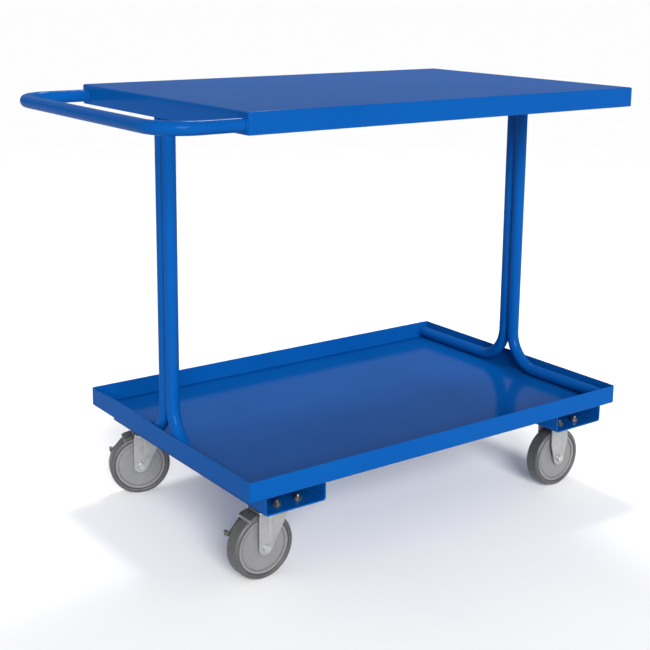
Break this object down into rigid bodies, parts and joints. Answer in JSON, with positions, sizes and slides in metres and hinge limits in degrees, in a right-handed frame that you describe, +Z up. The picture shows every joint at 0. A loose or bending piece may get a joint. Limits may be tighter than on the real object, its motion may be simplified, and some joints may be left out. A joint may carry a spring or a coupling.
{
  "type": "platform trolley",
  "caption": "Two-shelf platform trolley with a lipped lower deck, tube end posts, a tube push handle, braked swivel casters and rigid casters.",
  "frame": {"origin": "middle of the whole footprint at floor level, handle included", "axes": "+X along the deck away from the push handle, +Y across the deck, +Z up"},
  "size_m": [1.0717, 0.61, 0.85],
  "materials": {
    "blue_paint": "semi-gloss powder coat with light orange peel",
    "zinc_steel": "bright zinc-plated pressed steel",
    "bright_steel": "polished zinc-plated fasteners",
    "dark_steel": "dull dark zinc-plated steel",
    "grey_tyre": "satin thermoplastic rubber",
    "grey_plastic": "satin moulded polypropylene"
  },
  "bodies": {
    "frame": {"lower_deck": "blue_paint", "top_shelf": "blue_paint", "handle_end_post_front": "blue_paint", "handle_end_post_rear": "blue_paint", "load_end_post_front": "blue_paint", "load_end_post_rear": "blue_paint", "push_handle": "blue_paint", "handle_end_channel": "blue_paint", "load_end_channel": "blue_paint", "swivel_front_top_plate": "zinc_steel", "swivel_front_ball_race": "bright_steel", "swivel_front_kingpin": "bright_steel", "swivel_front_bolt_1": "bright_steel", "swivel_front_bolt_2": "bright_steel", "swivel_front_bolt_3": "bright_steel", "swivel_front_bolt_4": "bright_steel", "swivel_rear_top_plate": "zinc_steel", "swivel_rear_ball_race": "bright_steel", "swivel_rear_kingpin": "bright_steel", "swivel_rear_bolt_1": "bright_steel", "swivel_rear_bolt_2": "bright_steel", "swivel_rear_bolt_3": "bright_steel", "swivel_rear_bolt_4": "bright_steel", "rigid_front_fork": "zinc_steel", "rigid_front_axle_bolt": "bright_steel", "rigid_front_axle_nut": "bright_steel", "rigid_front_axle_sleeve": "bright_steel", "rigid_front_bolt_1": "bright_steel", "rigid_front_bolt_2": "bright_steel", "rigid_front_bolt_3": "bright_steel", "rigid_front_bolt_4": "bright_steel", "rigid_rear_fork": "zinc_steel", "rigid_rear_axle_bolt": "bright_steel", "rigid_rear_axle_nut": "bright_steel", "rigid_rear_axle_sleeve": "bright_steel", "rigid_rear_bolt_1": "bright_steel", "rigid_rear_bolt_2": "bright_steel", "rigid_rear_bolt_3": "bright_steel", "rigid_rear_bolt_4": "bright_steel"},
    "swivel_front_yoke": {"swivel_front_yoke": "zinc_steel", "swivel_front_axle_bolt": "bright_steel", "swivel_front_axle_nut": "bright_steel", "swivel_front_axle_sleeve": "bright_steel", "swivel_front_brake_pin": "bright_steel"},
    "swivel_front_wheel": {"swivel_front_tyre": "grey_tyre", "swivel_front_wheel_core": "grey_plastic"},
    "swivel_front_brake": {"swivel_front_brake_pedal": "dark_steel"},
    "swivel_rear_yoke": {"swivel_rear_yoke": "zinc_steel", "swivel_rear_axle_bolt": "bright_steel", "swivel_rear_axle_nut": "bright_steel", "swivel_rear_axle_sleeve": "bright_steel", "swivel_rear_brake_pin": "bright_steel"},
    "swivel_rear_wheel": {"swivel_rear_tyre": "grey_tyre", "swivel_rear_wheel_core": "grey_plastic"},
    "swivel_rear_brake": {"swivel_rear_brake_pedal": "dark_steel"},
    "rigid_front_wheel": {"rigid_front_tyre": "grey_tyre", "rigid_front_wheel_core": "grey_plastic"},
    "rigid_rear_wheel": {"rigid_rear_tyre": "grey_tyre", "rigid_rear_wheel_core": "grey_plastic"}
  },
  "joints": [
    {"name": "swivel_front_turn", "type": "hinge", "parent": "frame", "child": "swivel_front_yoke", "pos_m": [-0.274, -0.227, 0.134], "axis": [0, 0, 1], "continuous": true},
    {"name": "swivel_front_spin", "type": "hinge", "parent": "swivel_front_yoke", "child": "swivel_front_wheel", "pos_m": [-0.308, -0.227, 0.0625], "axis": [0, 1, 0], "continuous": true},
    {"name": "swivel_front_brake_press", "type": "hinge", "parent": "swivel_front_yoke", "child": "swivel_front_brake", "pos_m": [-0.318, -0.227, 0.1293], "axis": [0, -1, 0], "range_deg": [0, 6]},
    {"name": "swivel_rear_turn", "type": "hinge", "parent": "frame", "child": "swivel_rear_yoke", "pos_m": [-0.274, 0.227, 0.134], "axis": [0, 0, 1], "continuous": true},
    {"name": "swivel_rear_spin", "type": "hinge", "parent": "swivel_rear_yoke", "child": "swivel_rear_wheel", "pos_m": [-0.30634, 0.23751, 0.0625], "axis": [0.309, 0.9511, 0], "continuous": true},
    {"name": "swivel_rear_brake_press", "type": "hinge", "parent": "swivel_rear_yoke", "child": "swivel_rear_brake", "pos_m": [-0.31585, 0.2406, 0.1293], "axis": [-0.309, -0.9511, 0], "range_deg": [0, 6]},
    {"name": "rigid_front_spin", "type": "hinge", "parent": "frame", "child": "rigid_front_wheel", "pos_m": [0.438, -0.227, 0.0625], "axis": [0, 1, 0], "continuous": true},
    {"name": "rigid_rear_spin", "type": "hinge", "parent": "frame", "child": "rigid_rear_wheel", "pos_m": [0.438, 0.227, 0.0625], "axis": [0, 1, 0], "continuous": true}
  ]
}
